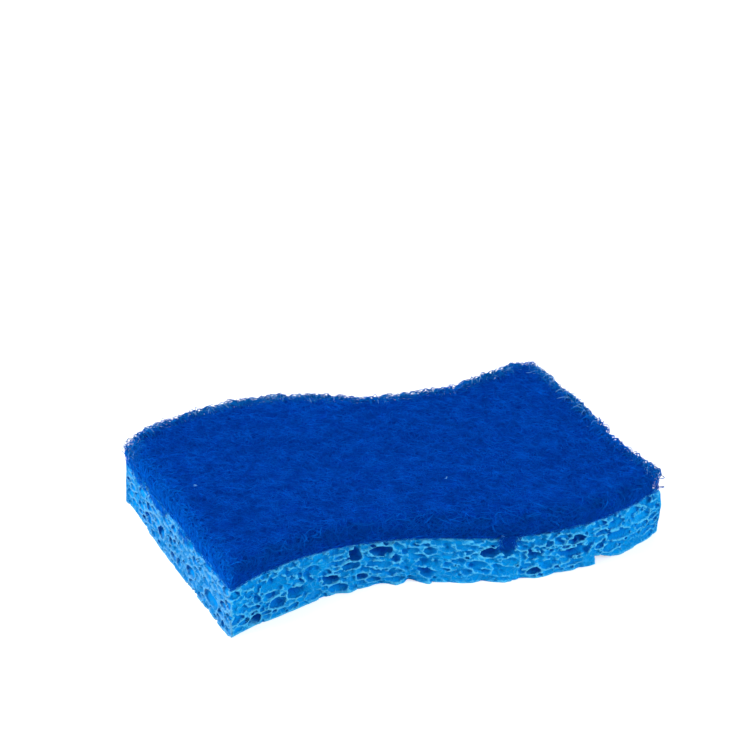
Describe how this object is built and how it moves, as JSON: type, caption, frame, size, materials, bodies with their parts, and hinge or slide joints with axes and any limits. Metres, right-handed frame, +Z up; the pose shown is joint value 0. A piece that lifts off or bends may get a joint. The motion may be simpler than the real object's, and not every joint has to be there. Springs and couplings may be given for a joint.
{
  "type": "cleaning sponge",
  "caption": "Flat hand scrub sponge with a wave-shaped outline: an open-pored cellulose sponge with a thick non-woven fibre scrub pad bonded on top.",
  "frame": {"origin": "middle of the underside of the sponge layer, which lies on the surface", "axes": "+X along the length, from the end whose back corner is blunt to the end whose front corner is blunt; +Y across the width, towards the side that bulges at -X; +Z up, out of the scrub pad"},
  "size_m": [0.1046, 0.0746, 0.0165],
  "materials": {
    "cellulose": "matt open-pored cellulose foam, light blue, paler along the thin skins between the pores",
    "scrub_fibre": "matt non-woven synthetic fibre mat, deep royal blue, faintly mottled"
  },
  "bodies": {
    "root": {"cellulose_sponge": "cellulose", "scrub_pad": "scrub_fibre"}
  },
  "joints": []
}
